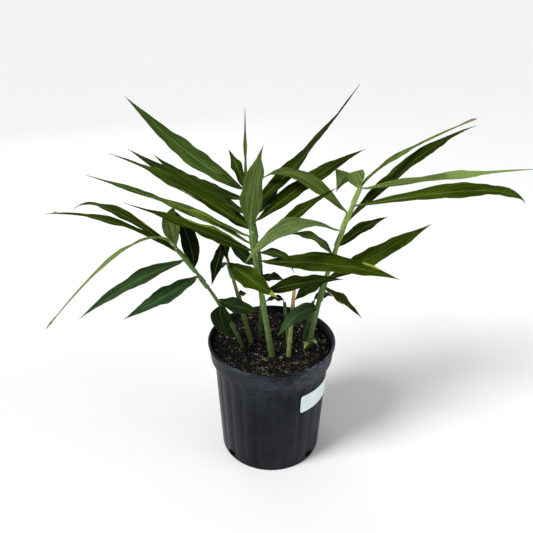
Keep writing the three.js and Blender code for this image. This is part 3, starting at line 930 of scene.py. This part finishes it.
def stemMaterial():
    wire = newMaterial("ginger_stem")
    turn, along, _ = wire.attribute("lay").parts()
    tone, bloom, mark = wire.attribute("mood").parts()
    streak = stemStreak(wire, turn, along * 0.05, 2.6)
    cloud = wire.place().speckle(120, 3, 0.6)
    # the stem's own streaks and mottle, strengthened into painted light and shade in place of the
    # light on its round sides
    shade = tone - 0.04 + 1.25 * (streak - 0.5) + 0.45 * (cloud - 0.5)
    color = shade.ramp(
        (0.0, (0.014, 0.028, 0.006)), (0.3, (0.05, 0.085, 0.018)),
        (0.6, (0.125, 0.2, 0.034)), (1.0, (0.33, 0.44, 0.09)))
    color = color.towards((0.095, 0.18, 0.115), bloom * 0.55)
    color = color.towards((0.13, 0.09, 0.03), mark.ease(0.2, 0.8) * (0.3 + 0.7 * streak))
    blush = (0 - mark).ease(0.0, 0.8) * (0.6 + 0.6 * cloud)
    color = color.towards((0.15, 0.035, 0.045), blush)
    low = (1 - along.ease(-4, 5)) * 0.6
    color = color.towards((0.06, 0.085, 0.03), low)
    roughness = 0.38 + 0.2 * cloud
    relief = streak + 0.4 * cloud
    return finishMaterial(wire, color, roughness, relief, 0.25, gloss=0.3, tint=(0.6, 0.85, 0.35))


def dryMaterial():
    wire = newMaterial("dry_stalk")
    turn, along, share = wire.attribute("lay").parts()
    streak = stemStreak(wire, turn, along * 0.04, 2.2)
    cloud = wire.place().speckle(150, 3, 0.6)
    fresh = streak.ramp((0.35, (0.11, 0.18, 0.04)), (0.6, (0.3, 0.35, 0.13)))
    straw = streak.ramp((0.35, (0.42, 0.21, 0.06)), (0.65, (0.62, 0.47, 0.23)))
    color = fresh.towards(straw, (share + 0.5 * (streak - 0.5)).ease(0.44, 0.6))
    color = color.towards((0.23, 0.09, 0.03), (streak * cloud * 4).ease(1.05, 1.3) * 0.6)
    relief = streak + 0.5 * cloud
    return finishMaterial(wire, color, 0.5 + 0.2 * cloud, relief, 0.25, gloss=0.25)


def makeShoot(name, shoot, stemLook, slot, leafLook):
    rings, lay = stemRings(shoot)
    points, faces = [], []
    closedTube(rings, points, faces)
    lay += [lay[0], lay[-1]]
    mesh = meshOf(name + "_stem", points, faces, 60)
    giveAttribute(mesh, "lay", lay)
    mood = []
    for _, run, t in lay:
        share = min(max(t, 0), 1)
        height = mixed(stem["rise"], shoot["top"][2], share)
        ring = max([bump(height - joint, stem["jointMark"]) for joint in shoot["joints"]] + [0])
        blush = shoot["blush"] * (1 - eased(run, stem["blushFull"], stem["blushFrom"]))
        mood.append((mixed(*shoot["tones"], share), mixed(*shoot["blooms"], share), ring - blush))
    giveAttribute(mesh, "mood", mood)
    settle(newObject(name + "_stem", mesh, stemLook), slot, name)
    if not shoot["leaves"]:
        return
    points, faces, lay, mood, more = [], [], [], [], []
    for index, leaf in enumerate(shoot["leaves"]):
        addLeaf(shoot, leaf, index, points, faces, lay, mood, more)
    mesh = meshOf(name + "_leaves", points, faces, 55)
    for layer, values in (("lay", lay), ("mood", mood), ("more", more)):
        giveAttribute(mesh, layer, values)
    settle(newObject(name + "_leaves", mesh, leafLook), "leaf", name)


stemLook = stemMaterial()
leafLook = leafMaterial()
dryLook = dryMaterial()
for name, shoot in shoots.items():
    finish = (stemLook, "stem") if shoot["leaves"] else (dryLook, "dry_stalk")
    makeShoot(name, shoot, *finish, leafLook)
    print(name)


soil = {
    "level": 146.5, "tilt": 2, "crumb": 1.3, "rings": 64, "segments": 144, "gap": 0.6,
    "under": 0.3, "ledge": 1.4, "ledgeTop": 4.8, "lumps": 1.7, "lumpSize": 4.5, "lumpLevel": 7,
    "calmEdge": 2, "bareEdge": 3.5, "bareFoot": 4, "bareStem": (0.3, 1.2),
}
# what lies on the soil: grains in a square metre, their size, how flat and long they are, how
# deep they sit, how rough, and facets for a pebble or thickness for a fibre; look is a
# material's name, its dark and light colour and the scale of its clouds
grains = {
    "soil_crumbs": {
        "density": 230000, "small": 0.45, "large": 2.0, "flat": 0.75, "long": 1.2, "sink": 0.15,
        "rough": 0.5, "steps": 1, "seed": 3, "slot": "soil",
    },
    "perlite": {
        "density": 3800, "small": 0.3, "large": 1.7, "flat": 0.85, "long": 1.15, "sink": -0.3,
        "rough": 0.55, "steps": 2, "seed": 11, "slot": "perlite",
        "look": ("perlite", (0.22, 0.21, 0.18), (0.66, 0.64, 0.57), 900),
    },
    "bark_chips": {
        "density": 15000, "small": 0.25, "large": 1.6, "flat": 0.4, "long": 2.2, "sink": -0.3,
        "rough": 0.6, "steps": 1, "seed": 23, "slot": "bark",
        "look": ("bark", (0.010, 0.008, 0.006), (0.270, 0.210, 0.135), 800),
    },
    "fibres": {
        "density": 75000, "small": 2.0, "large": 8.0, "flat": 1, "long": 1, "sink": 0,
        "rough": 0, "thick": 0.022, "seed": 31, "slot": "bark",
        "look": ("fibre", (0.050, 0.042, 0.028), (0.520, 0.460, 0.340), 600),
    },
}


def soilHeight(x, y):  # heaped to the back left, with low waves 15 to 50 mm long
    slope = soil["tilt"] * (y - x) / pot["wallTop"]
    lumps = math.sin(x * 0.31 + 1.3) * math.cos(y * 0.27) + math.sin(x * 0.13 - y * 0.41)
    return soil["level"] + slope + soil["crumb"] * lumps * 0.5


def soilBody():
    widest = collarInside - soil["gap"]
    turns = [2 * math.pi * n / soil["segments"] for n in range(soil["segments"])]
    profile = ((insideRadius(0) - soil["gap"], pot["floor"] + soil["under"]),
               (insideRadius(collarFoot) - soil["gap"], collarFoot + soil["ledge"]),
               (widest, collarFoot + soil["ledgeTop"]))
    rings = [[polar(radius, turn, z) * mm for turn in turns] for radius, z in profile]
    for k in range(soil["rings"]):
        radius = widest * (1 - k / soil["rings"])
        ring = []
        for turn in turns:
            x, y, _ = polar(radius, turn, 0)
            spot = Vector((x / soil["lumpSize"], y / soil["lumpSize"], soil["lumpLevel"]))
            rough = noise.fractal(spot, 0.9, 2.1, 4)
            edge = 1 - eased(radius, widest - soil["calmEdge"], widest)
            z = soilHeight(x, y) + soil["lumps"] * rough * (0.3 + 0.7 * edge)
            ring.append(Vector((x, y, z)) * mm)
        rings.append(ring)
    points, faces = [], []
    closedTube(rings, points, faces)
    return points, faces


def soilMaterial(name, dark, light, scale):
    wire = newMaterial(name)
    place = wire.place()
    tint = wire.attribute("tint", "Fac")
    cloud = place.speckle(scale, 5, 0.7)
    damp = place.speckle(22, 3, 0.5)
    color = (cloud * 0.7 + tint * 0.5 + 0.25 * (damp - 0.5)).ramp((0.3, dark), (0.85, light))
    return finishMaterial(wire, color, 0.78 + 0.2 * cloud, cloud, 0.5, gloss=0.15)


def pebble(ground, steps):
    values = {"Radius": 1.0, "Subdivisions": steps}
    return ground.node("GeometryNodeMeshIcoSphere", {}, values)


def fibre(ground, thick):
    # a thin bowed thread, one unit long
    values = {"Resolution": 6, "Start": (-0.5, 0, 0), "Middle": (0.0, 0.45, 0.1),
              "End": (0.5, 0, 0.0)}
    line = ground.node("GeometryNodeCurveQuadraticBezier", {}, values)
    values = {"Resolution": 4, "Radius": thick}
    ring = ground.node("GeometryNodeCurvePrimitiveCircle", {}, values)
    values = {"Curve": line, "Profile Curve": ring, "Fill Caps": True}
    return ground.node("GeometryNodeCurveToMesh", {}, values)


def strewn(given, sizes):
    # copies of one grain strewn over the ground, turned, sized and jolted at random
    ground = given["Geometry"]
    grain = fibre(ground, sizes["thick"]) if "thick" in sizes else pebble(ground, sizes["steps"])
    cover = ground.node("GeometryNodeInputNamedAttribute", {}, {"Name": "open"})
    values = {"Mesh": ground, "Density": given["density"] * cover, "Seed": given["seed"]}
    scatter = ground.node("GeometryNodeDistributePointsOnFaces", {}, values)

    def drawn(low, high, shift):
        values = {2: low, 3: high, "Seed": given["seed"] + shift}
        return ground.node("FunctionNodeRandomValue", {}, values, 1)

    turns = ground.vector(drawn(-0.5, 0.5, 1), drawn(-0.5, 0.5, 2), drawn(0.0, 6.28, 3))
    size = drawn(0.0, 1.0, 4) ** 2 * (given["large"] - given["small"]) + given["small"]
    scale = ground.vector(size * given["long"], size, size * given["flat"])
    values = {"Points": scatter, "Instance": grain, "Rotation": turns, "Scale": scale}
    grown = ground.node("GeometryNodeInstanceOnPoints", {}, values)
    drop = ground.vector(0.0, 0.0, 0 - size * given["sink"])
    grown = ground.node("GeometryNodeTranslateInstances", {},
                        {"Instances": grown, "Translation": drop})
    values = {"Geometry": grown, "Name": "tint", "Value": drawn(0.0, 1.0, 5)}
    grown = ground.node("GeometryNodeStoreNamedAttribute", {"domain": "INSTANCE"}, values)
    real = ground.node("GeometryNodeRealizeInstances", {}, {0: grown})
    place = ground.node("GeometryNodeInputPosition")
    jolt = place.node("ShaderNodeTexNoise", {}, {"Vector": place, "Scale": 900.0}, 1)
    jolt = place.node("ShaderNodeVectorMath", {"operation": "SUBTRACT"},
                      {0: jolt, 1: (0.5, 0.5, 0.5)})
    jolt = place.node("ShaderNodeVectorMath", {"operation": "SCALE"},
                      {0: jolt, "Scale": given["rough"] * 0.003})
    return real.node("GeometryNodeSetPosition", {}, {"Geometry": real, "Offset": jolt})


def scatterOn(ground, name, sizes, material):
    values = {key: float(sizes[key]) for key in ("density", "flat", "long", "sink", "rough")}
    values.update({key: sizes[key] * mm for key in ("small", "large")})
    values.update({"seed": sizes["seed"], "material": material})
    piece = newObject(name, ground.copy())
    growTree(piece, name, values, lambda given: strewn(given, sizes))
    bakeModifiers(piece)
    settle(piece, sizes["slot"])


def makeSoil():
    points, faces = soilBody()
    mesh = meshOf("potting_mix", points, faces, 50)
    top = mesh.attributes.new("open", "FLOAT", "POINT")
    for index, point in enumerate(points):
        flat = Vector((point.x, point.y)) / mm
        clear = min((flat - Vector(shoot["foot"])).length - shoot["girth"][0]
                    for shoot in shoots.values())
        bare = flat.length > collarInside - soil["bareEdge"]
        bare = bare or point.z / mm < collarFoot + soil["bareFoot"]
        top.data[index].value = 0 if bare else eased(clear, *soil["bareStem"])
    look = soilMaterial("potting_mix", (0.0014, 0.0013, 0.0012), (0.013, 0.011, 0.009), 700)
    settle(newObject("potting_mix", mesh, look), "soil", "potting_soil")
    ground = mesh.copy()
    ground.materials.clear()
    for name, sizes in grains.items():
        scatterOn(ground, name, sizes, soilMaterial(*sizes["look"]) if "look" in sizes else look)


makeSoil()
print("soil")


rhizome = {
    "height": 110, "radius": 9, "voxel": 1.1, "rounds": 6, "ring": 5.5, "relief": 0.35,
    "grain": 120,
}
# middle, length along x and turn of each knob
knobs = [(-32, -3, 17, 10), (-13, 2, 16, -15), (2, -16, 15, 70), (14, -4, 17, 20),
         (21, -22, 13, 75), (34, -3, 17, -10), (41, 9, 12, 60)]


def rhizomeMaterial():
    wire = newMaterial("rhizome_skin")
    place = wire.place()
    cloud = place.speckle(90, 5, 0.65)
    rings = place.speckle(400, 2, 0.5)
    color = cloud.ramp((0.3, (0.230, 0.130, 0.060)), (0.7, (0.520, 0.350, 0.180)))
    return finishMaterial(wire, color, 0.6 + 0.2 * cloud, rings + cloud, 0.3)


def makeRhizome():
    made = bmesh.new()
    for x, y, long, turn in knobs:
        shape = Matrix.Translation(Vector((x, y, rhizome["height"])) * mm)
        shape = shape @ Matrix.Rotation(math.radians(turn), 4, "Z")
        shape = shape @ Matrix.Diagonal((long * mm, rhizome["radius"] * mm,
                                         rhizome["radius"] * mm, 1))
        bmesh.ops.create_icosphere(made, subdivisions=4, radius=1, matrix=shape)
    mesh = bpy.data.meshes.new("rhizome")
    made.to_mesh(mesh)
    made.free()
    piece = newObject("rhizome", mesh, rhizomeMaterial())
    skin = piece.modifiers.new("skin", "REMESH")
    skin.mode = "VOXEL"
    skin.voxel_size = rhizome["voxel"] * mm
    soft = piece.modifiers.new("soft", "SMOOTH")
    soft.iterations = rhizome["rounds"]
    bakeModifiers(piece, 60)
    for point in piece.data.vertices:
        ring = math.cos(2 * math.pi * point.co.x / (rhizome["ring"] * mm))
        push = rhizome["relief"] * (ring * 0.5 - 1 + noise.noise(point.co * rhizome["grain"]))
        point.co += point.normal * push * mm
    settle(piece, "rhizome", "ginger_rhizome")


makeRhizome()
print("rhizome")
